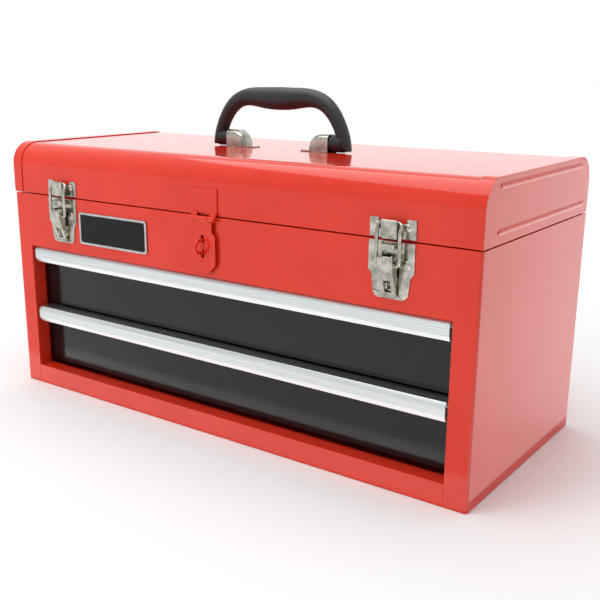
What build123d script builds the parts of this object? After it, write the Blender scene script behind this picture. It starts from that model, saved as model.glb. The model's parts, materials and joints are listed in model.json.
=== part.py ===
from build123d import *
import os
from math import hypot

# A portable steel tool box: a folded case with two drawers, and a hinged lid with a carrying handle.
# Millimetres. X to the right, -Y to the front, Z up. Origin: middle of the case's underside.

# ---- case and lid ----
case_width = 508.0
case_depth = 216.0
case_height = 200.0           # from the underside to the seam under the lid
lid_height = 50.0             # from the seam to the top of the lid's rim
seam_gap = 1.0                # dark line between case and lid
sheet = 0.9                   # steel sheet of the case, lid and drawers
corner_bend = 2.4             # outside radius of the case's two front corners
lid_roll = 21.5               # outside radius of the lid's front and back edges
rim_width = 12.0              # how far each lid end laps over the lid's top sheet
hem_width = 8.0               # inward turn along the top of the case
lid_hem_width = 7.0           # inward turn along the bottom of the lid
rear_lap = 12.0               # turn of the side panels over the back panel
sheet_bend = 0.5              # least outside radius of a folded edge
weld_lap = 11.0               # upright edges of the pan and the till floor

# ---- beads pressed out of the lid's ends ----
bead_proud = 0.9
bead_radius = 3.2
bead_heights = (10.0, 43.0)   # above the seam
bead_front = 84.0             # from the middle to the front end of a bead
bead_backs = (95.0, 85.0)     # from the middle to the back end, lower and upper bead

# ---- drawer opening ----
stile_width = 20.0            # front face beside the opening
rail_height = 19.0            # bottom rail under the opening
header_height = 53.0          # front face between the opening and the seam
reveal_depth = 15.0           # return flanges round the opening

# ---- drawers ----
drawer_pitch = 63.0
drawer_gap = 2.0              # between a drawer and the pull under it
drawer_top_gap = 1.0          # between the header and the pull under it
drawer_side_gap = 2.8         # between a drawer's face and the stile
face_recess = 17.0            # black face behind the front of the case
tray_length = 188.0
tray_inset = 7.0              # from the face's edge to the tray's side
tray_drop = 6.5               # from the top of the drawer to the tray's running flange
glide_gap = 0.3               # under and beside the running flange
glide_play = 1.1              # over the running flange
face_lap = 12.0               # front edge of the tray behind the face
face_turn = 6.0               # bottom edge of the face turned under the tray

# ---- aluminium drawer pulls ----
pull_wall = 1.4
pull_height = 15.6
pull_front_gap = 1.4          # pull's front behind the front of the case
pull_setback = 2.4            # top edge behind the front of the pull
pull_brow = 3.6               # height of the slope up to the top edge
pull_curl = 4.2               # height of the curl at the foot
pull_tuck = 2.2               # foot behind the front of the pull
pull_knee_radius = 1.2
pull_leg = 9.0                # clip legs either side of the face
pull_slot_play = 0.1

# ---- piano hinge ----
hinge_end_gap = 2.0           # from the hinge's end to the rear lap or the lid's rim, whichever is wider
hinge_knuckles = 20
hinge_barrel_radius = 2.25
hinge_pin_radius = 1.2
pin_play = 0.05               # round every hinge pin
knuckle_gap = 0.3             # between neighbouring knuckles
hinge_leaf_height = 18.0

# ---- latches ----
latch_inset = 71.5            # from the end of the case to the middle of a latch
plate = 1.2                   # pressed plate of the latches, hasp and handle brackets
latch_width = 39.0
latch_seam_gap = 0.5          # base plate's top below the seam
base_corner = 6.0             # base plate's lower corners
base_top_corner = 1.0
shoulder_slope = 1.2          # fall of the shoulder per millimetre that the plate narrows
latch_base_drop = 44.0        # from the seam to the foot of the base plate
latch_shoulder_drop = 23.0    # from the seam to the step in the base plate
latch_foot_width = 29.0
latch_waist_width = 33.0
keeper_height = 14.5
keeper_rise = 0.9             # above the lid's lower edge
keeper_notch = 3.2            # depth of the dip in the keeper's top edge
notch_play = 0.4              # beside the bail
tongue_width = 13.4
ledge_rise = 10.1             # bail's ledge above the keeper's foot
tongue_height = 14.2
tongue_bend = 1.0             # round of the tongue's foot and top
tongue_depth = 6.3            # tongue's front in front of the case
strap_width = 11.8
strap_height = 6.9
strap_depth = 7.7
lever_pivot_drop = 12.0       # below the seam
lever_pivot_depth = 7.0       # in front of the case
bail_pivot_drop = 17.5
bail_pivot_depth = 6.4
lever_width = 13.0
lever_front = 3.9             # web's front in front of the pivot
lever_top = 0.9               # above the pivot
lug_radius = 2.4
lever_tip_drop = 40.0
lever_tip_depth = 3.6
lever_lip = 2.4
lever_bend_drop = 8.0         # straight stretch below the pivot
lever_lip_kick = 1.6          # lip's reach forward
cheek_back = 1.8              # cheeks' back edge in front of the base plate
cheek_rise = 2.2              # cheeks' top above the pivot
cheek_shoulder = 1.5          # cheeks' slope behind the pivot, across and down
cheek_below_bail = 3.4
cheek_tip = 2.0
lug_gap = 0.3                 # between the base's lugs and the lever's cheeks
latch_pin_radius = 1.2
pin_head = 0.7                # thickness of the pin's upset heads
pin_head_lip = 0.6            # head's radius beyond the pin's
pin_head_gap = 0.1
bail_wire = 3.0
bail_spacing = 19.4           # between the middles of the bail's two legs
bail_corner = 3.2
bail_foot_corner = 2.6        # where the legs turn in to the lever
bail_seat_gap = 0.3           # bail over the keeper's ledge
bail_top_depth = 3.2
bail_knee_drop = 6.5          # bend in the legs, below the crossbar
eye_width = 1.6               # padlock eye that stands through the lever
eye_height = 6.0
eye_reach = 7.6
eye_rise = 8.0                # above the foot of the base plate
eye_hole_radius = 1.4
lever_slot_width = 6.0
lever_slot_height = 9.4
lever_slot_drop = 0.6         # slot's middle below the eye's
rivet_radius = 3.2            # keeper rivets
base_rivet_radius = 4.2
rivet_head = 1.7
rivet_shank_radius = 1.6
rivet_tail_share = 0.8        # flat tail's radius over the head's
rivet_sink = 0.2              # shank's reach into the head and the tail
rivet_x = 12.6
rivet_drop = 17.3             # base rivets below the seam
keeper_rivet_rise = 8.4       # keeper rivets above the keeper's lower edge

# ---- hasp ----
hasp_leaf_width = 28.0
hasp_neck_width = 21.0
hasp_neck_drop = 13.0         # neck's lower end below the seam
hasp_shoulder = 3.0           # slope from the neck out to the leaf's side
hasp_leaf_drop = 48.5
hasp_chamfer = 7.5
hasp_upper_width = 28.0
hasp_upper_height = 21.5
hasp_upper_rise = 1.6         # above the lid's lower edge
hasp_pin_drop = 1.6           # hinge pin below the seam
hasp_barrel_radius = 2.4
hasp_barrel_gap = 0.6         # barrel in front of the case
hasp_pin_radius = 1.1
hasp_mid_knuckle = 13.0
hasp_slot_width = 3.2
hasp_slot_height = 19.4
hasp_slot_drop = 25.7         # middle of the slot below the seam
staple_radius = 7.0
staple_reach = 13.5
staple_thickness = 2.0
staple_tail_width = 12.0
staple_hole_radius = 4.0
staple_hole_shift = 1.0       # hole's middle in front of the round's middle

# ---- badge ----
badge_width = 89.5
badge_height = 30.8
badge_inset = 140.3           # from the left end of the case to the badge's middle
badge_drop = 26.8             # from the seam to the badge's middle
badge_thickness = 1.8
badge_border = 2.1
badge_recess = 0.5
badge_corner = 3.0

# ---- carrying handle ----
handle_half_width = 77.0      # outside of the legs at the pivot
handle_rise = 48.0            # pivot to the top of the grip
handle_pivot_rise = 7.9       # pivot above the lid's top sheet
handle_leg = 12.0             # leg's thickness across the bow
handle_depth = 13.0           # leg's thickness front to back
grip_depth = 17.6
grip_thickness = 20.6
grip_deepening = 1.3          # the bow gains depth this much sooner than height
handle_foot_gap = 1.0         # under the legs
trunnion_radius = 6.6
trunnion_play = 0.25
hood_outset = 19.0            # from the outside of the leg in to the hood's open end
hood_length = 22.0
hood_nose_radius = 13.5       # round of the hood down to the lid at its inner end
hood_edge = 5.0               # round of the hood's upper side edges
trunnion_end_gap = 0.2        # from the trunnion's end to where the hood's round begins
collar_radius = 7.5           # thicker neck between the leg and the hood
collar_gap = 0.6
tab_length = 9.0
tab_width = 10.0
clench_width = 8.0
clench_lip = 6.35             # clenched lip's length under the lid
clench_play = 0.1

# ---- worked out from the sizes above ----
half_w = case_width / 2
half_d = case_depth / 2
front = -half_d
seam = case_height
lid_foot = seam + seam_gap
lid_top_z = seam + lid_height
wrap_top = lid_top_z - sheet                  # top of the lid's own sheet, inside the rims
opening_half = half_w - stile_width
opening_top = case_height - header_height
face_plane = front + face_recess
face_half = opening_half - drawer_side_gap
tray_half = face_half - tray_inset
back_inner = half_d - 2 * sheet
till_z = opening_top + 2 * sheet              # top of the till floor
hinge_length = 2 * (half_w - max(rear_lap, rim_width) - hinge_end_gap)
hinge_y = half_d - sheet + hinge_barrel_radius + pin_play
hinge_z = seam + seam_gap / 2
lid_front = front + sheet                     # front of the lid's own sheet
clip_back = face_plane + sheet + pull_slot_play + pull_wall      # back of the pull's clip
drawer_tops = {"upper": opening_top - drawer_top_gap, "lower": opening_top - drawer_top_gap - drawer_pitch}
latch_x = half_w - latch_inset
badge_x, badge_z = badge_inset - half_w, seam - badge_drop


def slab(x0, x1, y0, y1, z0, z1):
    """A box between two corners."""
    size = Vector(x1 - x0, y1 - y0, z1 - z0)
    return Pos((x0 + x1) / 2, (y0 + y1) / 2, (z0 + z1) / 2) * Box(size.X, size.Y, size.Z)


def rod(radius, x0, x1, y, z):
    """A round bar along X."""
    return Pos((x0 + x1) / 2, y, z) * Rot(0, 90, 0) * Cylinder(radius, x1 - x0)


def stub(radius, y0, y1, x, z):
    """A round bar along Y."""
    return Pos(x, (y0 + y1) / 2, z) * Rot(90, 0, 0) * Cylinder(radius, y1 - y0)


def run_x(face, x0, x1):
    """Carry a profile drawn as (y, z) from x0 to x1."""
    return extrude(Plane(origin=(x0, 0, 0), x_dir=(0, 1, 0), z_dir=(1, 0, 0)) * face, x1 - x0)


def run_y(face, y0, y1):
    """Carry a profile drawn as (x, z) from y0 to y1."""
    return extrude(Plane(origin=(0, y0, 0), x_dir=(1, 0, 0), z_dir=(0, -1, 0)) * face, y0 - y1)


def shape(*points):
    """A flat face inside a closed outline."""
    return make_face(Polyline(*points, close=True))


def bent(points, thickness):
    """The section of a sheet that follows the points, on their left side."""
    shifted = []
    for i, (u, v) in enumerate(points):
        normals = []
        for a, b in ((i - 1, i), (i, i + 1)):
            if a >= 0 and b < len(points):
                du, dv = points[b][0] - points[a][0], points[b][1] - points[a][1]
                length = hypot(du, dv)
                normals.append((-dv / length, du / length))
        nu = sum(n[0] for n in normals)
        nv = sum(n[1] for n in normals)
        scale = len(normals) * thickness / (nu * nu + nv * nv)
        shifted.append((u + nu * scale, v + nv * scale))
    return shape(*points, *reversed(shifted))


def mirrored(part):
    """The same piece on the other side of the middle."""
    return mirror(part, about=Plane.YZ)


def keep_one(part):
    """The solid itself, where a boolean has wrapped it in a compound."""
    solids = part.solids()
    return solids[0] if len(solids) == 1 else Compound(children=list(solids))


# ---- case ----
def make_body_wrap():
    def u_shape(inset):
        w, d, r = half_w - inset, half_d - inset, max(corner_bend - inset, sheet_bend)
        outline = Pos(0, 0) * Rectangle(2 * w, 2 * d)
        return fillet(outline.vertices().sort_by(Axis.Y)[:2], r)

    wrap = extrude(u_shape(0), case_height) - extrude(u_shape(sheet), case_height)
    wrap -= slab(rear_lap - half_w, half_w - rear_lap, half_d - sheet, half_d, 0, case_height)
    wrap -= slab(-opening_half, opening_half, front, front + sheet, 0, opening_top)
    reveal_back = front + reveal_depth
    for side in (-1, 1):
        x0, x1 = sorted((side * opening_half, side * (opening_half + sheet)))
        wrap += slab(x0, x1, front, reveal_back, sheet, opening_top + sheet)
        x0, x1 = sorted((side * (half_w - sheet - hem_width), side * (half_w - sheet / 2)))
        wrap += slab(x0, x1, front + corner_bend, back_inner, seam - sheet, seam)
    wrap += slab(-opening_half, opening_half, front, reveal_back, opening_top, opening_top + sheet)
    wrap += slab(-half_w + corner_bend, half_w - corner_bend, front + sheet / 2, front + sheet + hem_width,
                 seam - sheet, seam)
    return wrap - latch_rivet_holes() - staple_slot()


def make_back_panel():
    inner = half_w - sheet
    panel = slab(-inner, inner, back_inner, half_d - sheet, 0, seam)
    hem = inner - hem_width
    return panel + slab(-hem, hem, back_inner - hem_width, back_inner, seam - sheet, seam)


def make_bottom_pan():
    inner = half_w - sheet
    pan = slab(-inner, inner, front + corner_bend, back_inner, 0, sheet)
    pan += slab(-opening_half, opening_half, front + sheet / 2, front + corner_bend + sheet, 0, sheet)
    pan += slab(-opening_half, opening_half, front, front + sheet, 0, rail_height)
    pan += slab(-opening_half, opening_half, front, front + reveal_depth, rail_height - sheet, rail_height)
    for side in (-1, 1):
        x0, x1 = sorted((side * (inner - sheet), side * inner))
        pan += slab(x0, x1, front + corner_bend, back_inner - sheet, 0, weld_lap)
    return pan + slab(-inner, inner, back_inner - sheet, back_inner, 0, weld_lap)


def make_till_floor():
    inner = half_w - sheet
    floor = slab(-inner, inner, front + corner_bend, back_inner, till_z - sheet, till_z)
    for side in (-1, 1):
        x0, x1 = sorted((side * (inner - sheet), side * inner))
        floor += slab(x0, x1, front + corner_bend, back_inner, till_z, till_z + weld_lap)
    floor += slab(-inner, inner, back_inner - sheet, back_inner, till_z, till_z + weld_lap)
    return floor


def make_runner(top, side):
    """A folded channel on the side panel that holds one running flange of a drawer."""
    ledge = top - tray_drop - sheet - glide_gap
    web = face_half
    lip = tray_half + 2 * glide_gap
    room = ledge + glide_gap + sheet + glide_play
    wall = half_w - sheet
    y0, y1 = clip_back + glide_gap, back_inner - 2 * sheet
    pieces = (
        (lip, web + sheet, room, room + sheet),
        (web, web + sheet, ledge - sheet, room + sheet),
        (lip, web + sheet, ledge - sheet, ledge),
        (lip, wall, ledge - 2 * sheet, ledge - sheet),
        (wall - sheet, wall, ledge - 2 * sheet - weld_lap, ledge - sheet),
    )
    runner = Part()
    for x0, x1, z0, z1 in pieces:
        runner += slab(x0, x1, y0, y1, z0, z1)
    return runner if side > 0 else mirrored(runner)


# ---- lid ----
def lid_outline(inset, foot):
    """The lid's end view, as (y, z), rounded at the top."""
    top = lid_top_z - inset
    half = half_d - inset
    outline = Pos(0, (foot + top) / 2) * Rectangle(2 * half, top - foot)
    return fillet(outline.vertices().sort_by(Axis.Y)[-2:], lid_roll - inset)


def make_lid_top():
    inner = half_w - sheet
    wrap = run_x(lid_outline(sheet, lid_foot), -inner, inner)
    wrap -= run_x(lid_outline(2 * sheet, lid_foot), -inner, inner)
    hem = inner - lid_hem_width
    inside = half_d - 2 * sheet
    wrap += slab(-hem, hem, -inside - sheet / 2, -inside + lid_hem_width, lid_foot, lid_foot + sheet)
    wrap += slab(-hem, hem, inside - lid_hem_width, inside + sheet / 2, lid_foot, lid_foot + sheet)
    for side in (-1, 1):
        wrap -= clench_slots(side)
    return wrap - keeper_rivet_holes()


def make_lid_end():
    inner = half_w - sheet
    end = run_x(lid_outline(0, lid_foot), inner, half_w)
    rim = run_x(lid_outline(0, lid_foot), inner - rim_width + sheet, inner)
    rim -= run_x(lid_outline(sheet, lid_foot - 1), inner - rim_width, inner + 1)
    end += rim
    hem = half_d - 2 * sheet - lid_hem_width
    end += slab(inner - lid_hem_width, inner, -hem, hem, lid_foot, lid_foot + sheet)
    for rise, back in zip(bead_heights, bead_backs):
        z = seam + rise
        axis_x = half_w + bead_proud - bead_radius
        bead = Pos(axis_x, (back - bead_front) / 2, z) * Rot(90, 0, 0) * Cylinder(bead_radius, back + bead_front)
        for y in (-bead_front, back):
            bead += Pos(axis_x, y, z) * Sphere(bead_radius)
        end += bead & slab(half_w - sheet / 2, half_w + bead_radius, front, half_d, z - bead_radius, z + bead_radius)
    return end


# ---- piano hinge ----
def knuckle_spans(first):
    pitch = hinge_length / hinge_knuckles
    for i in range(first, hinge_knuckles, 2):
        x0 = -hinge_length / 2 + i * pitch
        yield x0 + knuckle_gap / 2, x0 + pitch - knuckle_gap / 2


def make_hinge_leaf(up):
    """One leaf with every second knuckle; up is 1 for the lid's leaf and -1 for the case's."""
    half = hinge_length / 2
    y0, y1 = half_d - sheet, half_d
    near = hinge_barrel_radius + knuckle_gap
    z0, z1 = sorted((hinge_z + up * near, hinge_z + up * (near + hinge_leaf_height)))
    leaf = slab(-half, half, y0, y1, z0, z1)
    for x0, x1 in knuckle_spans(0 if up < 0 else 1):
        a, b = sorted((hinge_z, hinge_z + up * (near + sheet)))
        leaf += slab(x0, x1, y0, y1, a, b) + rod(hinge_barrel_radius, x0, x1, hinge_y, hinge_z)
    return leaf - rod(hinge_pin_radius + pin_play, -half - 1, half + 1, hinge_y, hinge_z)


def make_hinge_pin():
    return rod(hinge_pin_radius, -hinge_length / 2, hinge_length / 2, hinge_y, hinge_z)


# ---- latches: every latch piece is drawn at x = 0, with depth measured forward of the case ----
def at_depth(depth):
    return front - depth


def latch_rivet_holes():
    holes = Part()
    for side in (-1, 1):
        for x in (-rivet_x, rivet_x):
            holes += stub(rivet_shank_radius, front - plate, front + 2 * sheet, side * latch_x + x, seam - rivet_drop)
    return holes


def keeper_rivet_holes():
    z = lid_foot + keeper_rise + keeper_rivet_rise
    holes = Part()
    for side in (-1, 1):
        for x in (-rivet_x, rivet_x):
            holes += stub(rivet_shank_radius, lid_front - plate, lid_front + 2 * sheet, side * latch_x + x, z)
    return holes


def make_rivet(radius, x, z, seat, inner):
    """Domed head outside, shank through the plate and sheet, flat tail inside."""
    dome_radius = (radius ** 2 + rivet_head ** 2) / (2 * rivet_head)
    dome = Pos(x, seat - rivet_head + dome_radius, z) * Rot(90, 0, 0) * Sphere(dome_radius)
    reach = 2 * dome_radius
    dome &= slab(x - reach, x + reach, seat - reach, seat, z - reach, z + reach)
    tail = stub(radius * rivet_tail_share, inner, inner + plate, x, z)
    return keep_one(dome + stub(rivet_shank_radius, seat - rivet_sink, inner + rivet_sink, x, z) + tail)


def make_base_rivets(side):
    z = seam - rivet_drop
    return [make_rivet(base_rivet_radius, side * latch_x + x, z, front - plate, front + sheet)
            for x in (-rivet_x, rivet_x)]


def make_keeper_rivets(side):
    z = lid_foot + keeper_rise + keeper_rivet_rise
    return [make_rivet(rivet_radius, side * latch_x + x, z, lid_front - plate, lid_front + sheet)
            for x in (-rivet_x, rivet_x)]


def make_latch_base():
    half, waist, foot = latch_width / 2, latch_waist_width / 2, latch_foot_width / 2
    top = seam - latch_seam_gap
    shoulder = seam - latch_shoulder_drop
    bottom = seam - latch_base_drop
    waist_z = shoulder - (half - waist) * shoulder_slope
    outline = shape((-half, top), (half, top), (half, shoulder), (waist, waist_z),
                    (foot, bottom), (-foot, bottom), (-waist, waist_z), (-half, shoulder))
    outline = fillet(outline.vertices().sort_by(Axis.Y)[:2], base_corner)
    outline = fillet(outline.vertices().sort_by(Axis.Y)[-2:], base_top_corner)
    base = run_y(outline, front - plate, front)
    # bridge pressed out of the plate over the lever's pivot, open below
    half_strap = strap_width / 2
    strap_foot = top - strap_height
    strap = run_x(bent([(at_depth(plate), top - plate), (at_depth(strap_depth), top - plate),
                        (at_depth(strap_depth), strap_foot)][::-1], -plate), -half_strap, half_strap)
    base += strap
    # lugs that carry the pivot pin
    pivot_z = seam - lever_pivot_drop
    pivot_y = at_depth(lever_pivot_depth)
    lug_outer = lever_width / 2 - plate - lug_gap
    for side in (-1, 1):
        x0, x1 = sorted((side * (lug_outer - plate), side * lug_outer))
        lug = slab(x0, x1, pivot_y, front - plate / 2, pivot_z - lug_radius, pivot_z + lug_radius)
        lug += rod(lug_radius, x0, x1, pivot_y, pivot_z)
        base += lug
    base -= rod(latch_pin_radius + pin_play, -half, half, pivot_y, pivot_z)
    # padlock eye that stands out through the lever's slot
    eye_z = bottom + eye_rise + eye_height / 2
    eye = slab(-eye_width / 2, eye_width / 2, at_depth(eye_reach - eye_height / 2), front - plate / 2,
               eye_z - eye_height / 2, eye_z + eye_height / 2)
    eye += rod(eye_height / 2, -eye_width / 2, eye_width / 2, at_depth(eye_reach - eye_height / 2), eye_z)
    eye -= rod(eye_hole_radius, -eye_width, eye_width, at_depth(eye_reach - eye_height / 2), eye_z)
    return base + eye


def make_lever():
    pivot_y, pivot_z = at_depth(lever_pivot_depth), seam - lever_pivot_drop
    bail_y, bail_z = at_depth(bail_pivot_depth), seam - bail_pivot_drop
    web_y = pivot_y - lever_front
    bend_z = pivot_z - lever_bend_drop
    tip_y, tip_z = at_depth(lever_tip_depth), seam - lever_tip_drop
    half = lever_width / 2
    line = [(web_y, pivot_z + lever_top), (web_y, bend_z), (tip_y, tip_z), (tip_y - lever_lip_kick, tip_z - lever_lip)]
    lever = run_x(bent(line, plate), -half, half)
    heel_y = at_depth(plate + cheek_back)
    cheek = shape((web_y + plate / 2, pivot_z + lever_top), (pivot_y + cheek_shoulder, pivot_z + cheek_rise),
                  (heel_y, pivot_z - cheek_shoulder), (heel_y, bail_z - cheek_below_bail),
                  (tip_y + plate / 2, tip_z + cheek_tip), (tip_y + plate / 2, tip_z + cheek_tip / 2),
                  (web_y + plate / 2, bend_z))
    for side in (-1, 1):
        x0, x1 = sorted((side * (half - plate), side * half))
        lever += run_x(cheek, x0, x1)
    lever -= rod(latch_pin_radius + pin_play, -half - 1, half + 1, pivot_y, pivot_z)
    lever -= rod(bail_wire / 2 + pin_play, -half - 1, half + 1, bail_y, bail_z)
    eye_z = seam - latch_base_drop + eye_rise + eye_height / 2
    slot_z = eye_z - lever_slot_drop
    lever -= slab(-lever_slot_width / 2, lever_slot_width / 2, web_y - plate, front - plate,
                  slot_z - lever_slot_height / 2, slot_z + lever_slot_height / 2)
    return lever


def make_lever_pin():
    half = lever_width / 2
    y, z = at_depth(lever_pivot_depth), seam - lever_pivot_drop
    shank = half + pin_head_gap
    pin = rod(latch_pin_radius, -shank, shank, y, z)
    for x0 in (-shank - pin_head, shank):
        pin += rod(latch_pin_radius + pin_head_lip, x0, x0 + pin_head, y, z)
    return pin


def make_bail():
    leg = bail_spacing / 2
    root_y, root_z = at_depth(bail_pivot_depth), seam - bail_pivot_drop
    ledge_z = lid_foot + keeper_rise + ledge_rise
    top_z = ledge_z + bail_seat_gap + bail_wire / 2
    top_y = at_depth(bail_top_depth)
    knee_y, knee_z = at_depth(bail_pivot_depth), top_z - bail_knee_drop
    inner = lever_width / 2 - plate
    points = [(-inner, root_y, root_z), (-leg, root_y, root_z), (-leg, knee_y, knee_z), (-leg, top_y, top_z),
              (leg, top_y, top_z), (leg, knee_y, knee_z), (leg, root_y, root_z), (inner, root_y, root_z)]
    path = FilletPolyline(*points, radius=[bail_foot_corner] + 4 * [bail_corner] + [bail_foot_corner])
    start = Plane(origin=points[0], z_dir=(-1, 0, 0))
    return sweep(start * Circle(bail_wire / 2), path=path)


def make_keeper():
    half = latch_width / 2
    foot = lid_foot + keeper_rise
    top = foot + keeper_height
    ledge_z = foot + ledge_rise
    tongue = tongue_width / 2
    notch = (bail_spacing + bail_wire) / 2 + notch_play
    keeper = slab(-half, half, lid_front - plate, lid_front, foot, top)
    keeper -= slab(-notch, notch, lid_front - plate, lid_front, top - keeper_notch, top)
    # the tongue is bent out at the foot and up in front of the bail, which rests on a ledge behind it
    tongue_y = at_depth(tongue_depth)
    hook = bent([(tongue_y, foot + tongue_height), (tongue_y, foot), (lid_front - plate / 2, foot)], plate)
    hook = fillet([v for v in hook.vertices() if v.X < tongue_y + plate / 2], tongue_bend)
    keeper += run_x(hook, -tongue, tongue)
    keeper += slab(-tongue, tongue, tongue_y + plate / 2, lid_front - plate / 2, ledge_z - plate, ledge_z)
    for side in (-1, 1):
        keeper -= stub(rivet_shank_radius, lid_front - 2 * plate, lid_front + sheet, side * rivet_x,
                       foot + keeper_rivet_rise)
    return keeper


# ---- hasp ----
def hasp_axis():
    return at_depth(hasp_barrel_radius + hasp_barrel_gap), seam - hasp_pin_drop


def make_hasp_upper():
    half = hasp_upper_width / 2
    foot = lid_foot + hasp_upper_rise
    y, z = hasp_axis()
    upper = slab(-half, half, lid_front - plate, lid_front, foot, foot + hasp_upper_height)
    near = hasp_mid_knuckle / 2 + knuckle_gap
    for side in (-1, 1):
        x0, x1 = sorted((side * near, side * half))
        web_back = y + hasp_barrel_radius
        upper += slab(x0, x1, web_back - plate, lid_front - plate / 2, foot, foot + plate)
        upper += slab(x0, x1, web_back - plate, web_back, z, foot + plate)
        upper += rod(hasp_barrel_radius, x0, x1, y, z)
    return upper - rod(hasp_pin_radius + pin_play, -half - 1, half + 1, y, z)


def make_hasp_leaf():
    y, z = hasp_axis()
    half, neck = hasp_leaf_width / 2, hasp_neck_width / 2
    top = z - hasp_barrel_radius - knuckle_gap
    bottom = seam - hasp_leaf_drop
    shoulder = seam - hasp_neck_drop
    chamfer_x, chamfer_z = half - hasp_chamfer, bottom + hasp_chamfer
    outline = shape((-neck, top), (neck, top), (neck, shoulder), (half, shoulder - hasp_shoulder), (half, chamfer_z),
                    (chamfer_x, bottom), (-chamfer_x, bottom), (-half, chamfer_z), (-half, shoulder - hasp_shoulder),
                    (-neck, shoulder))
    back = y + plate / 2
    leaf = run_y(outline, back - plate, back)
    mid = hasp_mid_knuckle / 2
    leaf += slab(-mid, mid, back - plate, back, top - plate, z) + rod(hasp_barrel_radius, -mid, mid, y, z)
    leaf -= rod(hasp_pin_radius + pin_play, -half, half, y, z)
    slot_z = seam - hasp_slot_drop
    leaf -= slab(-hasp_slot_width / 2, hasp_slot_width / 2, back - 2 * plate, back + plate,
                 slot_z - hasp_slot_height / 2, slot_z + hasp_slot_height / 2)
    return leaf


def make_hasp_pin():
    y, z = hasp_axis()
    half = hasp_upper_width / 2
    return rod(hasp_pin_radius, -half, half, y, z)


def staple_slot():
    z = seam - hasp_slot_drop
    return slab(-staple_thickness / 2, staple_thickness / 2, front - 1, front + 2 * sheet,
                z - staple_radius, z + staple_radius)


def make_staple():
    """A half-round eye set through the front sheet, with a flat tail behind it."""
    z = seam - hasp_slot_drop
    half = staple_thickness / 2
    eye_y = at_depth(staple_reach - staple_radius)
    staple = slab(-half, half, eye_y, front + sheet, z - staple_radius, z + staple_radius)
    round_part = slab(-half, half, eye_y - staple_radius, eye_y, z - staple_radius, z + staple_radius)
    staple += rod(staple_radius, -half, half, eye_y, z) & round_part
    tail = staple_tail_width / 2
    staple += slab(-tail, tail, front + sheet, front + sheet + plate, z - staple_radius, z + staple_radius)
    return staple - rod(staple_hole_radius, -half - 1, half + 1, eye_y - staple_hole_shift, z)


# ---- badge ----
def make_badge():
    outer = Pos(badge_x, badge_z) * RectangleRounded(badge_width, badge_height, badge_corner)
    frame = run_y(outer, front - badge_thickness, front)
    inside_w, inside_h = badge_width - 2 * badge_border, badge_height - 2 * badge_border
    inner = Pos(badge_x, badge_z) * RectangleRounded(inside_w, inside_h, badge_corner - badge_border / 2)
    floor = front - badge_thickness / 2
    frame -= run_y(inner, front - badge_thickness - 1, floor)
    panel = run_y(inner, front - badge_thickness + badge_recess, floor)
    return frame, panel


# ---- carrying handle ----
def pivot_height():
    return wrap_top + handle_pivot_rise


def handle_sections():
    """Middles and thicknesses of half the bow, from the foot of the right leg to the middle of the grip."""
    z0, leg_x = pivot_height(), handle_half_width - handle_leg / 2
    grip_z = z0 + handle_rise - grip_thickness / 2
    rise = grip_z - z0
    foot_drop = z0 - wrap_top - handle_foot_gap
    # share of the leg's distance out, share of the rise, then shares of the way from leg to grip thickness
    bow = [(1.01, -foot_drop / rise, 0.0), (1.0, 0.0, 0.0), (0.945, 0.33, 0.02), (0.85, 0.64, 0.11), (0.69, 0.915, 0.26),
           (0.48, 1.025, 0.5), (0.24, 1.01, 0.84), (0.0, 1.0, 1.0)]
    for across, up, fullness in bow:
        tall = handle_leg + (grip_thickness - handle_leg) * fullness
        deep = handle_depth + (grip_depth - handle_depth) * min(1.0, grip_deepening * fullness)
        yield leg_x * across, z0 + rise * up, tall, deep


def make_handle():
    """A moulded bow of oval sections, slimmest at the legs and fullest in the middle of the grip."""
    z0 = pivot_height()
    half = list(handle_sections())
    stations = half + [(-x, z, tall, deep) for x, z, tall, deep in half[-2::-1]]
    last = len(stations) - 1
    sections = []
    for i, (x, z, tall, deep) in enumerate(stations):
        before, after = stations[max(i - 1, 0)], stations[min(i + 1, last)]
        along = Vector(after[0] - before[0], 0, after[1] - before[1])
        sections.append(Plane(origin=(x, 0, z), x_dir=(0, 1, 0), z_dir=along) * Ellipse(deep / 2, tall / 2))
    bow = loft(sections)
    # the feet are rounded about the pivot, so that the bow can fold down
    foot_radius = handle_pivot_rise - handle_foot_gap
    reach = 2 * handle_half_width
    below = slab(-reach, reach, -reach, reach, z0 - reach, z0)
    bow -= below - rod(foot_radius, -reach, reach, 0, z0)
    leg_x = handle_half_width - handle_leg / 2
    for side in (-1, 1):
        for radius, start in ((trunnion_radius, hood_inner_end() + hood_nose_radius + trunnion_end_gap),
                              (collar_radius, hood_outer_end() + collar_gap)):
            x0, x1 = sorted((side * start, side * leg_x))
            bow += rod(radius, x0, x1, 0, z0)
    return bow


def hood_half_width():
    return trunnion_radius + trunnion_play + plate


def hood_outer_end():
    return handle_half_width - hood_outset


def hood_inner_end():
    return hood_outer_end() - hood_length


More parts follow.
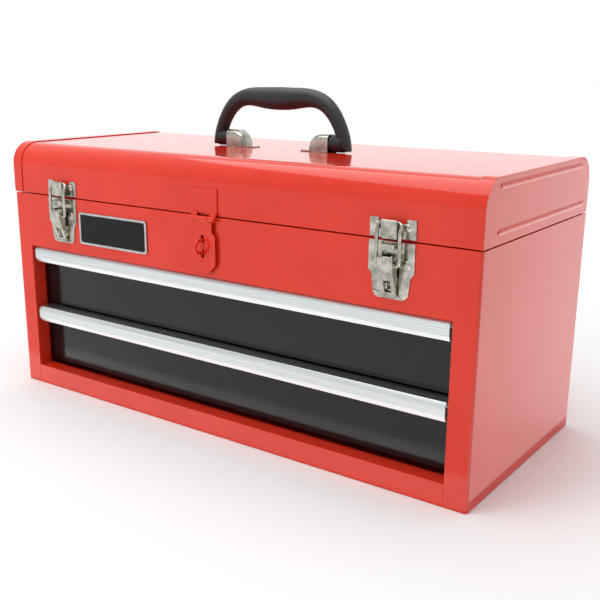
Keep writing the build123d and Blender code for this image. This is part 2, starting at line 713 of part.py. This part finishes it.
def make_bracket():
    """A pressed hood over the handle's trunnion, rounded down at its inner end, clenched through the lid."""
    x0, x1 = hood_inner_end(), hood_outer_end()

    def bell(inset, foot):
        half, top = hood_half_width() - inset, pivot_height() + hood_half_width() - inset
        profile = shape((x0 + inset, foot), (x1 + inset, foot), (x1 + inset, top), (x0 + inset, top))
        profile = fillet(profile.vertices().sort_by(Axis.Y)[-2:].sort_by(Axis.X)[0], hood_nose_radius - inset)
        body = run_y(profile, -half, half)
        rims = [e for e in body.edges() if abs(abs(e.center().Y) - half) < plate / 100
                and e.center().Z > foot + hood_edge and e.center().X < x1]
        return fillet(rims, hood_edge - inset)

    hood = bell(0, wrap_top) - bell(plate, wrap_top - plate)
    hood += slab(x0 - tab_length, x0 + plate, -tab_width / 2, tab_width / 2, wrap_top, wrap_top + plate)
    middle, half = (x0 + x1) / 2, clench_width / 2
    side_y, under = hood_half_width(), wrap_top - sheet
    for side in (-1, 1):
        y0, y1 = sorted((side * (side_y - plate), side * side_y))
        hood += slab(middle - half, middle + half, y0, y1, under - plate, wrap_top + plate)
        y0, y1 = sorted((side * (side_y - clench_lip), side * side_y))
        hood += slab(middle - half, middle + half, y0, y1, under - plate, under)
    return hood


def clench_slots(side):
    side_y = hood_half_width()
    middle = side * (hood_inner_end() + hood_outer_end()) / 2
    half = clench_width / 2 + clench_play
    slots = Part()
    for y in (-side_y, side_y - plate):
        slots += slab(middle - half, middle + half, y - clench_play, y + plate + clench_play,
                      wrap_top - 2 * sheet, wrap_top + 1)
    return slots


# ---- drawers ----
def drawer_bottom(top):
    return top - drawer_pitch + drawer_gap


def make_tray(top):
    floor = drawer_bottom(top) + sheet
    y0 = face_plane + sheet
    y1 = y0 + tray_length
    rim = top - tray_drop
    tray = slab(-tray_half, tray_half, y0, y1, floor, rim)
    tray -= slab(-tray_half + sheet, tray_half - sheet, y0 + sheet, y1 - sheet, floor + sheet, rim + 1)
    tray -= slab(-tray_half + sheet, tray_half - sheet, y0 - 1, y0 + sheet, floor + face_lap, rim + 1)
    tray -= slab(-tray_half, tray_half, y0 - 1, clip_back + glide_gap, top - pull_leg - glide_gap, rim + 1)
    for side in (-1, 1):
        x0, x1 = sorted((side * (tray_half - sheet), side * (face_half - glide_gap)))
        tray += slab(x0, x1, clip_back + glide_gap, y1, rim - sheet, rim)
    return tray


def make_face_panel(top):
    bottom = drawer_bottom(top)
    panel = slab(-face_half, face_half, face_plane, face_plane + sheet, bottom, top - pull_wall)
    return panel + slab(-face_half, face_half, face_plane, face_plane + sheet + face_turn, bottom, bottom + sheet)


def make_pull(top):
    """Extruded strip over the top edge of a drawer's face, rolled forward and down for the fingers."""
    nose_y = front + pull_front_gap
    foot = top - pull_height
    leg_y = face_plane + sheet + pull_slot_play
    w = pull_wall
    outer = [(leg_y + w, top), (nose_y + pull_setback, top), (nose_y, top - pull_brow), (nose_y, foot + pull_curl),
             (nose_y + pull_tuck, foot)]
    strip = bent(outer, w)
    knees = [v for v in strip.vertices() if v.Y > foot + pull_knee_radius and v.X < nose_y + pull_setback + pull_knee_radius]
    strip = fillet(knees, pull_knee_radius)
    front_leg = face_plane - pull_slot_play
    strip += shape((leg_y, top - w / 2), (leg_y + w, top - w / 2), (leg_y + w, top - pull_leg), (leg_y, top - pull_leg))
    strip += shape((front_leg - w, top - w / 2), (front_leg, top - w / 2), (front_leg, top - pull_leg),
                   (front_leg - w, top - pull_leg))
    return run_x(strip, -face_half, face_half)


def placed(part, side):
    return Pos(side * latch_x, 0, 0) * part


def build():
    parts = {
        "body_wrap": make_body_wrap(),
        "back_panel": make_back_panel(),
        "bottom_pan": make_bottom_pan(),
        "till_floor": make_till_floor(),
        "lid_top": make_lid_top(),
        "hinge_lower_leaf": make_hinge_leaf(-1),
        "hinge_upper_leaf": make_hinge_leaf(1),
        "hinge_pin": make_hinge_pin(),
        "hasp_upper_leaf": make_hasp_upper(),
        "hasp_leaf": make_hasp_leaf(),
        "hasp_pin": make_hasp_pin(),
        "hasp_staple": make_staple(),
        "carry_handle": make_handle(),
    }
    parts["badge_frame"], parts["badge_panel"] = make_badge()
    lid_end, bracket = make_lid_end(), make_bracket()
    base, lever, pin, bail, keeper = make_latch_base(), make_lever(), make_lever_pin(), make_bail(), make_keeper()
    for name, side in (("left", -1), ("right", 1)):
        parts[f"lid_end_{name}"] = lid_end if side > 0 else mirrored(lid_end)
        parts[f"handle_bracket_{name}"] = bracket if side > 0 else mirrored(bracket)
        parts[f"latch_base_{name}"] = placed(base, side) - latch_rivet_holes()
        parts[f"latch_lever_{name}"] = placed(lever, side)
        parts[f"latch_pin_{name}"] = placed(pin, side)
        parts[f"latch_bail_{name}"] = placed(bail, side)
        parts[f"latch_keeper_{name}"] = placed(keeper, side)
        parts[f"base_rivets_{name}"] = Compound(children=make_base_rivets(side))
        parts[f"keeper_rivets_{name}"] = Compound(children=make_keeper_rivets(side))
    for level, top in drawer_tops.items():
        parts[f"{level}_drawer_tray"] = make_tray(top)
        parts[f"{level}_drawer_face"] = make_face_panel(top)
        parts[f"{level}_drawer_pull"] = make_pull(top)
        for name, side in (("left", -1), ("right", 1)):
            parts[f"{level}_runner_{name}"] = make_runner(top, side)
    return parts


os.makedirs("parts", exist_ok=True)
for node, part in build().items():
    export_step(keep_one(part), f"parts/{node}.step")
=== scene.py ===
import bpy
import bmesh
import json
import math
from mathutils import Matrix, Vector

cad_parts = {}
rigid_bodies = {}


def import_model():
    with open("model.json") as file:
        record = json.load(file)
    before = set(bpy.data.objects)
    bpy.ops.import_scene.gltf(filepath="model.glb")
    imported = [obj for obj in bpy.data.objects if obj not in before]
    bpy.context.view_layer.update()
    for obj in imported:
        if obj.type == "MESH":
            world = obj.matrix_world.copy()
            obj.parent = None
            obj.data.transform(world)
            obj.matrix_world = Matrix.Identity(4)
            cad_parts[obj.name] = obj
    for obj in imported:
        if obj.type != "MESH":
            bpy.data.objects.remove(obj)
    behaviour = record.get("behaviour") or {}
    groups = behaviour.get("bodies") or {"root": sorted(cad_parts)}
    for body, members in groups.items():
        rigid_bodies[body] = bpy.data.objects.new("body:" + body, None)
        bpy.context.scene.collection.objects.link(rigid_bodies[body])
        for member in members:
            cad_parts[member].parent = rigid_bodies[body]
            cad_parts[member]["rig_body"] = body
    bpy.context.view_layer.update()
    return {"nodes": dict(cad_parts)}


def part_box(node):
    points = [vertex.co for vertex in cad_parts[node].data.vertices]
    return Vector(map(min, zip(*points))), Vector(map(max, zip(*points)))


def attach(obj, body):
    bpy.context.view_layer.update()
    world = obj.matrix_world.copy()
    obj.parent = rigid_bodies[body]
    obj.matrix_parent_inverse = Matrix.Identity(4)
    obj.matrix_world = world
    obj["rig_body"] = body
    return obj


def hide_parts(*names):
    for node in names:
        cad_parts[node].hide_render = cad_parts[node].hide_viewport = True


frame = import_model()
mm = 0.001
print("frame loaded,", len(frame["nodes"]), "nodes")


def hexColour(text):  # sRGB hex to Blender's linear colour
    channels = []
    for i in (1, 3, 5):
        c = int(text[i:i + 2], 16) / 255
        channels.append(c / 12.92 if c <= 0.04045 else ((c + 0.055) / 1.055) ** 2.4)
    return (*channels, 1.0)


def addNode(tree, kind, inputs=None, **settings):
    node = tree.nodes.new(kind)
    for name, value in settings.items():
        setattr(node, name, value)
    for socket, value in (inputs or {}).items():
        if isinstance(value, bpy.types.NodeSocket):
            tree.links.new(value, node.inputs[socket])
        else:
            node.inputs[socket].default_value = value
    return node


def startMaterial(name):
    material = bpy.data.materials.new(name)
    material.use_nodes = True
    tree = material.node_tree
    tree.nodes.clear()
    return material, tree, addNode(tree, "ShaderNodeTexCoord").outputs["Object"]


# how much of a pattern's middle is spread over the two colours, and over the two roughnesses
patternSpan = {"colourLow": 0.35, "colourHigh": 0.65, "roughLow": 0.3, "roughHigh": 0.7}


def finishMaterial(tree, look, colourMask, roughMask, relief):  # patterns drive colour, roughness and bump
    shades = addNode(tree, "ShaderNodeValToRGB", {"Fac": colourMask})
    darkStop, lightStop = shades.color_ramp.elements
    darkStop.position, darkStop.color = patternSpan["colourLow"], hexColour(look["dark"])
    lightStop.position, lightStop.color = patternSpan["colourHigh"], hexColour(look["light"])
    least, most = look["roughness"]
    roughness = addNode(tree, "ShaderNodeMapRange", {
        "Value": roughMask, "From Min": patternSpan["roughLow"], "From Max": patternSpan["roughHigh"],
        "To Min": least, "To Max": most})
    bump = addNode(tree, "ShaderNodeBump", {
        "Height": relief, "Distance": look["depth"] * mm, "Strength": look["strength"]})
    surface = addNode(tree, "ShaderNodeBsdfPrincipled", {
        "Base Color": shades.outputs["Color"], "Roughness": roughness.outputs["Result"],
        "Normal": bump.outputs["Normal"], **look["shader"]})
    addNode(tree, "ShaderNodeOutputMaterial", {"Surface": surface.outputs["BSDF"]})


# Stoved gloss enamel on sheet steel: wet-looking, with a faint orange peel that breaks up reflections.
redLook = {"dark": "#D6301A", "light": "#DC3520", "driftSize": 60, "peelSize": 3.0, "hazeSize": 18,
           "depth": 0.02, "strength": 0.25, "roughness": (0.06, 0.12), "shader": {"IOR": 1.45}}
blackLook = {"dark": "#0D0D0E", "light": "#131314", "driftSize": 40, "peelSize": 3.0, "hazeSize": 14,
             "depth": 0.02, "strength": 0.2, "roughness": (0.1, 0.18), "shader": {"IOR": 1.45}}
# Clear film over black foil: the badge's bare field. A lower index makes it read blacker than the paint.
filmLook = {"dark": "#08080A", "light": "#0E0E10", "driftSize": 10, "peelSize": 8, "hazeSize": 6,
            "depth": 0.02, "strength": 0.2, "roughness": (0.06, 0.12), "shader": {"IOR": 1.3}}
enamelDetail = {"drift": 3.0, "peel": 1.0, "haze": 4.0}


def glossEnamel(name, look):
    material, tree, coords = startMaterial(name)
    masks = {}
    for pattern, detail in enamelDetail.items():
        scale = 1 / (look[f"{pattern}Size"] * mm)
        noise = addNode(tree, "ShaderNodeTexNoise", {"Vector": coords, "Scale": scale, "Detail": detail})
        masks[pattern] = noise.outputs["Fac"]
    finishMaterial(tree, look, masks["drift"], masks["haze"], masks["peel"])
    return material


redEnamel = glossEnamel("redStovedEnamel", redLook)
blackEnamel = glossEnamel("blackStovedEnamel", blackLook)
badgeFilm = glossEnamel("blackBadgeFilm", filmLook)

# Satin anodised aluminium: an extrusion, so die lines run its whole length and smear reflections across.
# Real die lines are near 0.1 mm apart, and are drawn at 0.7 to show.
aluminiumLook = {"dark": "#D3D9DA", "light": "#E9EDED", "lineLength": 160, "lineWidth": 0.7,
                 "lineDetail": 3.0, "depth": 0.01, "strength": 0.4, "roughness": (0.3, 0.4),
                 "shader": {"Metallic": 1.0}}


def anodisedAluminium(look):
    material, tree, coords = startMaterial("satinAnodisedAluminium")
    across = 1 / (look["lineWidth"] * mm)
    along = addNode(tree, "ShaderNodeMapping", {
        "Vector": coords, "Scale": (1 / (look["lineLength"] * mm), across, across)})
    lines = addNode(tree, "ShaderNodeTexNoise", {
        "Vector": along.outputs["Vector"], "Scale": 1.0, "Detail": look["lineDetail"]})
    finishMaterial(tree, look, lines.outputs["Fac"], lines.outputs["Fac"], lines.outputs["Fac"])
    return material


satinAluminium = anodisedAluminium(aluminiumLook)

# Plated pressed steel: bright, but the pressing leaves it gently wavy and the plate dulls in patches.
nickelLook = {"dark": "#96948A", "light": "#D3D1C6", "waveSize": 5, "patchSize": 8,
              "depth": 0.22, "strength": 0.5, "roughness": (0.14, 0.3), "shader": {"Metallic": 1.0}}
zincLook = {"dark": "#9DA2A6", "light": "#BCC1C4", "waveSize": 9, "patchSize": 12,
            "depth": 0.05, "strength": 0.5, "roughness": (0.32, 0.5), "shader": {"Metallic": 1.0}}
badgeLook = {"dark": "#B3B1B2", "light": "#CBCACB", "waveSize": 12, "patchSize": 9,
             "depth": 0.02, "strength": 0.5, "roughness": (0.12, 0.2), "shader": {"Metallic": 1.0}}
platingDetail = {"waves": 1.0, "patches": 5.0, "patchRoughness": 0.6}


def platedSteel(name, look):
    material, tree, coords = startMaterial(name)
    waves = addNode(tree, "ShaderNodeTexNoise", {
        "Vector": coords, "Scale": 1 / (look["waveSize"] * mm), "Detail": platingDetail["waves"]})
    dulling = addNode(tree, "ShaderNodeTexNoise", {
        "Vector": coords, "Scale": 1 / (look["patchSize"] * mm), "Detail": platingDetail["patches"],
        "Roughness": platingDetail["patchRoughness"]})
    finishMaterial(tree, look, dulling.outputs["Fac"], dulling.outputs["Fac"], waves.outputs["Fac"])
    return material


brightNickel = platedSteel("brightNickelPlate", nickelLook)
zincPlate = platedSteel("zincPlatedSteel", zincLook)
badgeTrim = platedSteel("polishedBadgeTrim", badgeLook)

# Moulded PVC grip: charcoal, eggshell sheen, with a fine spark-eroded grain from the mould.
# Real grain is about 0.3 mm, and is drawn at 0.9 to show.
gripLook = {"dark": "#151618", "light": "#1E1F22", "grainSize": 0.9, "depth": 0.05, "strength": 0.5,
            "driftSize": 20, "driftDetail": 3.0, "roughness": (0.42, 0.55), "shader": {"IOR": 1.53}}


def mouldedPvc(look):
    material, tree, coords = startMaterial("mouldedPvcGrip")
    grain = addNode(tree, "ShaderNodeTexVoronoi", {"Vector": coords, "Scale": 1 / (look["grainSize"] * mm)})
    patches = addNode(tree, "ShaderNodeTexNoise", {
        "Vector": coords, "Scale": 1 / (look["driftSize"] * mm), "Detail": look["driftDetail"]})
    finishMaterial(tree, look, patches.outputs["Fac"], patches.outputs["Fac"], grain.outputs["Distance"])
    return material


gripPvc = mouldedPvc(gripLook)

slotMaterials = {"red_enamel": redEnamel, "black_enamel": blackEnamel, "anodised_aluminium": satinAluminium,
                 "zinc_steel": zincPlate, "nickel_plate": brightNickel, "moulded_grip": gripPvc,
                 "badge_silver": badgeTrim, "badge_black": badgeFilm}
print("materials ready,", len(slotMaterials))


def bakeShape(piece):  # what the modifiers make becomes the plain mesh
    graph = bpy.context.evaluated_depsgraph_get()
    mesh = bpy.data.meshes.new_from_object(piece.evaluated_get(graph))
    piece.modifiers.clear()
    piece.data = mesh


def settle(piece, body, slot):  # material, body and slot of a finished piece
    piece.data.materials.clear()
    piece.data.materials.append(slotMaterials[slot])
    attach(piece, body)


# weld distance in millimetres, angles in degrees
easing = {"weld": 0.002, "flatAngle": 0.5, "bevelAngle": 35, "sharpAngle": 40, "segments": 2,
          "areaWeight": 100}


def softenNormals(piece, sharpAngle):  # flat panels stay flat, folds read as round
    shape = bmesh.new()
    shape.from_mesh(piece.data)
    for edge in shape.edges:
        edge.smooth = len(edge.link_faces) == 2 and edge.calc_face_angle(0.0) < math.radians(sharpAngle)
    for face in shape.faces:
        face.smooth = True
    shape.to_mesh(piece.data)
    shape.free()
    weighting = piece.modifiers.new("panelNormals", "WEIGHTED_NORMAL")
    weighting.keep_sharp = True
    weighting.weight = easing["areaWeight"]
    bakeShape(piece)


# a copy of a CAD node with its edges eased by so many millimetres, standing for it
def easedCopy(name, node, slot, edge, segments=easing["segments"], sharpAngle=easing["sharpAngle"]):
    source = frame["nodes"][node]
    piece = bpy.data.objects.new(name, source.data.copy())
    bpy.context.scene.collection.objects.link(piece)
    shape = bmesh.new()
    shape.from_mesh(piece.data)
    bmesh.ops.remove_doubles(shape, verts=shape.verts, dist=easing["weld"] * mm)
    if edge:
        flat = math.radians(easing["flatAngle"])
        bmesh.ops.dissolve_limit(shape, angle_limit=flat, verts=shape.verts, edges=shape.edges)
    shape.to_mesh(piece.data)
    shape.free()
    if edge:
        bevel = piece.modifiers.new("easedEdges", "BEVEL")
        bevel.width, bevel.segments = edge * mm, segments
        bevel.limit_method, bevel.angle_limit = "ANGLE", math.radians(easing["bevelAngle"])
        bevel.use_clamp_overlap = False
        bakeShape(piece)
    softenNormals(piece, sharpAngle)
    settle(piece, source["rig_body"], slot)
    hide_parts(node)


# folded sheet steel of the case and lid: each piece's node, and its easing in millimetres
sheetEdges = {"caseWrap": ("body_wrap", 0.35), "rearPanel": ("back_panel", 0.3),
              "bottomPan": ("bottom_pan", 0.35), "tillFloor": ("till_floor", 0.3),
              "lidShell": ("lid_top", 0.3), "lidEndLeft": ("lid_end_left", 0.3),
              "lidEndRight": ("lid_end_right", 0.3), "haspHanger": ("hasp_upper_leaf", 0.25),
              "haspLeaf": ("hasp_leaf", 0.25), "haspPin": ("hasp_pin", 0.2),
              "haspStaple": ("hasp_staple", 0.3), "rearHingeLower": ("hinge_lower_leaf", 0.12),
              "rearHingeUpper": ("hinge_upper_leaf", 0.12)}
rearPinEdge = 0.15
for name, (node, edge) in sheetEdges.items():
    easedCopy(name, node, "red_enamel", edge)
easedCopy("rearHingePin", "hinge_pin", "zinc_steel", rearPinEdge)
print("case and lid sheets ready")

# drawers: the slot and easing of each part, and how many segments round its edges
drawerParts = {"tray": ("black_enamel", 0.3, 2), "face": ("black_enamel", 0.3, 2),
               "pull": ("anodised_aluminium", 0.22, 3)}
runnerEdge = 0.2
for level in ("upper", "lower"):
    for part, (slot, edge, segments) in drawerParts.items():
        easedCopy(f"{level}{part.title()}", f"{level}_drawer_{part}", slot, edge, segments)
    for side in ("left", "right"):
        easedCopy(f"{level}Runner{side.title()}", f"{level}_runner_{side}", "zinc_steel", runnerEdge)
print("drawers ready")

# latches and the handle's hoods, in bright plate: each part's node and easing
plateEdges = {"latchBase": ("latch_base", 0.5), "latchKeeper": ("latch_keeper", 0.45),
              "latchLever": ("latch_lever", 0.28), "latchPin": ("latch_pin", 0.25),
              "latchBail": ("latch_bail", 0), "handleHood": ("handle_bracket", 0.3)}
plateSegments = 3
for side in ("left", "right"):
    for part, (node, edge) in plateEdges.items():
        easedCopy(f"{part}{side.title()}", f"{node}_{side}", "nickel_plate", edge, plateSegments)
print("latches and hoods ready")

# rivets: a dome outside and a flat tail inside, a grip apart, on every point of the piece's mesh
rivetSizes = {"Head Radius": 3.2 * mm, "Head Height": 1.7 * mm, "Grip": 2.1 * mm, "Tail Radius": 2.56 * mm,
              "Tail Height": 1.2 * mm}
rivetFaces = {"Around": 24, "Rings": 12}
rivetRows = {  # nodes, body, and head and tail radius in millimetres
    "latchBaseRivets": (("base_rivets_left", "base_rivets_right"), "case", 4.2, 3.36),
    "keeperRivets": (("keeper_rivets_left", "keeper_rivets_right"), "lid", 3.2, 2.56)}


def rivetTree():
    tree = bpy.data.node_groups.new("domedRivets", "GeometryNodeTree")
    tree.interface.new_socket("Places", in_out="INPUT", socket_type="NodeSocketGeometry")
    for name, value in rivetSizes.items():
        tree.interface.new_socket(name, in_out="INPUT", socket_type="NodeSocketFloat").default_value = value
    for name, value in rivetFaces.items():
        tree.interface.new_socket(name, in_out="INPUT", socket_type="NodeSocketInt").default_value = value
    tree.interface.new_socket("Finish", in_out="INPUT", socket_type="NodeSocketMaterial")
    tree.interface.new_socket("Rivets", in_out="OUTPUT", socket_type="NodeSocketGeometry")
    sizes = addNode(tree, "NodeGroupInput").outputs
    # the head is a ball squashed to its height above the seat, and flat below it
    ball = addNode(tree, "GeometryNodeMeshUVSphere", {
        "Segments": sizes["Around"], "Rings": sizes["Rings"], "Radius": sizes["Head Radius"]})
    position = addNode(tree, "GeometryNodeInputPosition")
    place = addNode(tree, "ShaderNodeSeparateXYZ", {"Vector": position.outputs[0]})
    above = addNode(tree, "ShaderNodeMath", {0: place.outputs["Z"], 1: 0.0}, operation="MAXIMUM")
    squash = addNode(tree, "ShaderNodeMath", {0: sizes["Head Height"], 1: sizes["Head Radius"]},
                     operation="DIVIDE")
    height = addNode(tree, "ShaderNodeMath", {0: above.outputs[0], 1: squash.outputs[0]},
                     operation="MULTIPLY")
    domed = addNode(tree, "ShaderNodeCombineXYZ", {
        "X": place.outputs["X"], "Y": place.outputs["Y"], "Z": height.outputs[0]})
    head = addNode(tree, "GeometryNodeSetPosition", {
        "Geometry": ball.outputs["Mesh"], "Position": domed.outputs[0]})
    # the tail's middle lies half its height past the grip
    tail = addNode(tree, "GeometryNodeMeshCylinder", {
        "Vertices": sizes["Around"], "Radius": sizes["Tail Radius"], "Depth": sizes["Tail Height"]})
    depth = addNode(tree, "ShaderNodeMath", {0: sizes["Tail Height"], 1: 0.5, 2: sizes["Grip"]},
                    operation="MULTIPLY_ADD")
    down = addNode(tree, "ShaderNodeMath", {0: depth.outputs[0], 1: -1.0}, operation="MULTIPLY")
    drop = addNode(tree, "ShaderNodeCombineXYZ", {"Z": down.outputs[0]})
    inside = addNode(tree, "GeometryNodeTransform", {
        "Geometry": tail.outputs["Mesh"], "Translation": drop.outputs[0]})
    whole = addNode(tree, "GeometryNodeJoinGeometry")
    for piece in (head.outputs["Geometry"], inside.outputs["Geometry"]):
        tree.links.new(piece, whole.inputs["Geometry"])
    outwards = (math.pi / 2, 0.0, 0.0)  # the dome points to the front of the box
    spots = addNode(tree, "GeometryNodeInstanceOnPoints", {
        "Points": sizes["Places"], "Instance": whole.outputs[0], "Rotation": outwards})
    real = addNode(tree, "GeometryNodeRealizeInstances", {"Geometry": spots.outputs["Instances"]})
    smooth = addNode(tree, "GeometryNodeSetShadeSmooth", {"Geometry": real.outputs["Geometry"]})
    finish = addNode(tree, "GeometryNodeSetMaterial", {
        "Geometry": smooth.outputs["Geometry"], "Material": sizes["Finish"]})
    addNode(tree, "NodeGroupOutput", {"Rivets": finish.outputs["Geometry"]})
    return tree


def rivetRow(name, nodes, body, headRadius, tailRadius, tree):
    sizes = {**rivetSizes, "Head Radius": headRadius * mm, "Tail Radius": tailRadius * mm}
    places = []
    for node in nodes:  # a pair of rivets fills each node's box from end to end
        low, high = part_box(node)
        seat = low.y + sizes["Head Height"]
        for x in (low.x + sizes["Head Radius"], high.x - sizes["Head Radius"]):
            places.append((x, seat, (low.z + high.z) / 2))
    points = bpy.data.meshes.new(name)
    points.from_pydata(places, [], [])
    piece = bpy.data.objects.new(name, points)
    bpy.context.scene.collection.objects.link(piece)
    rivets = piece.modifiers.new("rivets", "NODES")
    rivets.node_group = tree
    values = {**sizes, **rivetFaces, "Finish": brightNickel}
    for item in tree.interface.items_tree:
        if item.in_out == "INPUT" and item.name in values:
            rivets[item.identifier] = values[item.name]
    bakeShape(piece)
    settle(piece, body, "nickel_plate")
    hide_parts(*nodes)


domedRivets = rivetTree()
for name, (nodes, body, headRadius, tailRadius) in rivetRows.items():
    rivetRow(name, nodes, body, headRadius, tailRadius, domedRivets)
print("rivets ready")

# carrying handle, and the badge, left bare; each with its easing
gripParts = {"edge": 0, "sharpAngle": 50}  # the grip's round necks stay smooth
badgeParts = {"rimEdge": 0.25, "rimSegments": 3, "fieldEdge": 0.1}
easedCopy("carryingHandle", "carry_handle", "moulded_grip", gripParts["edge"],
          sharpAngle=gripParts["sharpAngle"])
easedCopy("badgeRim", "badge_frame", "badge_silver", badgeParts["rimEdge"], badgeParts["rimSegments"])
easedCopy("badgeField", "badge_panel", "badge_black", badgeParts["fieldEdge"])
print("handle and badge ready")

# camera, fitted to the photograph's edges: degrees, millimetres and photo pixels
cameraFit = {"azimuth": 36.623, "elevation": 15.496, "roll": 0.088, "distance": 873.739,
             "targetX": -4.629, "targetZ": 90.069, "focalPixels": 889.189, "centreU": 275.54,
             "centreV": 312.496, "framePixels": 600, "sensorWidth": 36.0,
             "nearest": 0.05, "furthest": 60.0}  # the last two in metres


def placeCamera(fit):
    azimuth, elevation = math.radians(fit["azimuth"]), math.radians(fit["elevation"])
    level = math.cos(elevation)
    back = Vector((math.sin(azimuth) * level, -math.cos(azimuth) * level, math.sin(elevation)))
    lens = bpy.data.cameras.new("photoCamera")
    lens.sensor_width, lens.sensor_fit = fit["sensorWidth"], "HORIZONTAL"
    lens.lens = fit["focalPixels"] * lens.sensor_width / fit["framePixels"]
    lens.shift_x = 0.5 - fit["centreU"] / fit["framePixels"]
    lens.shift_y = fit["centreV"] / fit["framePixels"] - 0.5
    lens.clip_start, lens.clip_end = fit["nearest"], fit["furthest"]
    camera = bpy.data.objects.new("photoCamera", lens)
    bpy.context.scene.collection.objects.link(camera)
    turn = back.to_track_quat("Z", "Y").to_matrix() @ Matrix.Rotation(math.radians(fit["roll"]), 3, "Z")
    target = Vector((fit["targetX"], 0, fit["targetZ"])) * mm
    camera.matrix_world = Matrix.Translation(target + back * fit["distance"] * mm) @ turn.to_4x4()
    bpy.context.scene.camera = camera


placeCamera(cameraFit)

# floor and backdrop in metres, the floor's drop in millimetres; gloss and metal mirror a darker room in front
studio = {"floorSize": 24.0, "floorDrop": 0.4, "floorColour": "#F4F4F4", "fadeStart": 0.25, "fadeEnd": 0.6,
          "dayLevel": 0.42, "roomLevel": 0.62, "roomFrom": -0.8, "roomTo": -0.1}
white = (1, 1, 1, 1)
lamps = {  # place, aim and size in metres, watts, and whether it lights, mirrors or both
    "softboxAbove": {"place": (-0.2, -0.1, 1.7), "aim": (0, 0, 0.1), "size": (2.2, 1.6), "power": 24,
                     "use": "both"},
    "softboxFrontLeft": {"place": (-1.2, -1.7, 0.9), "aim": (0, 0, 0.12), "size": (1.4, 1.1), "power": 18,
                         "use": "light"},
    "softboxRight": {"place": (1.15, 0.75, 0.35), "aim": (0.25, 0, 0.12), "size": (1.3, 0.9), "power": 3,
                     "use": "light"},
    "cardFront": {"place": (0.0, -0.137, 0.001), "aim": (0.0, -0.137, 1.0), "size": (1.4, 0.055),
                  "power": 0.2, "use": "mirror"},
    "cardRight": {"place": (0.88, 1.1, 0.001), "aim": (0.88, 1.1, 1.0), "size": (1.24, 3.0), "power": 8,
                  "use": "mirror"},
    "cardBehind": {"place": (-1.1, 1.9, 0.75), "aim": (-0.2, 0.0, 0.2), "size": (3.4, 1.5), "power": 3,
                   "use": "mirror"}}


def paleFloor(look):
    ground = bmesh.new()
    bmesh.ops.create_grid(ground, x_segments=1, y_segments=1, size=look["floorSize"] / 2)
    for vertex in ground.verts:
        vertex.co.z = -look["floorDrop"] * mm
    mesh = bpy.data.meshes.new("paleFloor")
    ground.to_mesh(mesh)
    ground.free()
    floor = bpy.data.objects.new("paleFloor", mesh)
    bpy.context.scene.collection.objects.link(floor)
    # matt white table that melts into the white backdrop away from the box
    material, tree, coords = startMaterial("paleTable")
    distance = addNode(tree, "ShaderNodeVectorMath", {0: coords}, operation="LENGTH")
    fade = addNode(tree, "ShaderNodeMapRange", {
        "Value": distance.outputs["Value"], "From Min": look["fadeStart"], "From Max": look["fadeEnd"]},
        interpolation_type="SMOOTHSTEP")
    matt = addNode(tree, "ShaderNodeBsdfDiffuse", {"Color": hexColour(look["floorColour"])})
    glow = addNode(tree, "ShaderNodeEmission", {"Color": white, "Strength": 1.0})
    path = addNode(tree, "ShaderNodeLightPath")
    seen = addNode(tree, "ShaderNodeMath", {
        0: path.outputs["Is Camera Ray"], 1: path.outputs["Is Glossy Ray"]}, operation="MAXIMUM")
    share = addNode(tree, "ShaderNodeMath", {0: seen.outputs[0], 1: fade.outputs["Result"]},
                    operation="MULTIPLY")
    table = addNode(tree, "ShaderNodeMixShader", {
        0: share.outputs[0], 1: matt.outputs[0], 2: glow.outputs[0]})
    addNode(tree, "ShaderNodeOutputMaterial", {"Surface": table.outputs[0]})
    mesh.materials.append(material)


def whiteWorld(look):
    world = bpy.data.worlds.new("whiteStudio")
    world.use_nodes = True
    tree = world.node_tree
    tree.nodes.clear()
    path = addNode(tree, "ShaderNodeLightPath")
    first = addNode(tree, "ShaderNodeMath", {
        0: path.outputs["Is Camera Ray"], 1: path.outputs["Is Glossy Ray"]}, operation="MAXIMUM")
    seen = addNode(tree, "ShaderNodeMath", {0: first.outputs[0], 1: path.outputs["Is Transmission Ray"]},
                   operation="MAXIMUM")
    way = addNode(tree, "ShaderNodeTexCoord")
    axes = addNode(tree, "ShaderNodeSeparateXYZ", {"Vector": way.outputs["Generated"]})
    room = addNode(tree, "ShaderNodeMapRange", {
        "Value": axes.outputs["Y"], "From Min": look["roomFrom"], "From Max": look["roomTo"],
        "To Min": look["roomLevel"], "To Max": 1.0})
    backdrop = addNode(tree, "ShaderNodeMath", {0: path.outputs["Is Camera Ray"], 1: room.outputs["Result"]},
                       operation="MAXIMUM")
    level = addNode(tree, "ShaderNodeMapRange", {
        "Value": seen.outputs[0], "To Min": look["dayLevel"], "To Max": backdrop.outputs[0]})
    sky = addNode(tree, "ShaderNodeBackground", {"Color": white, "Strength": level.outputs["Result"]})
    addNode(tree, "ShaderNodeOutputWorld", {"Surface": sky.outputs[0]})
    bpy.context.scene.world = world


def softboxes(plan):
    for name, lamp in plan.items():
        light = bpy.data.lights.new(name, "AREA")
        light.shape = "RECTANGLE"
        light.size, light.size_y = lamp["size"]
        light.energy = lamp["power"]
        box = bpy.data.objects.new(name, light)
        bpy.context.scene.collection.objects.link(box)
        place, aim = Vector(lamp["place"]), Vector(lamp["aim"])
        turn = (place - aim).to_track_quat("Z", "Y").to_matrix()
        box.matrix_world = Matrix.Translation(place) @ turn.to_4x4()
        box.visible_camera = False
        box.visible_glossy = lamp["use"] != "light"
        box.visible_diffuse = lamp["use"] != "mirror"


paleFloor(studio)
whiteWorld(studio)
softboxes(lamps)
bpy.context.scene.view_settings.view_transform = "Standard"
print("camera, floor and lights ready")
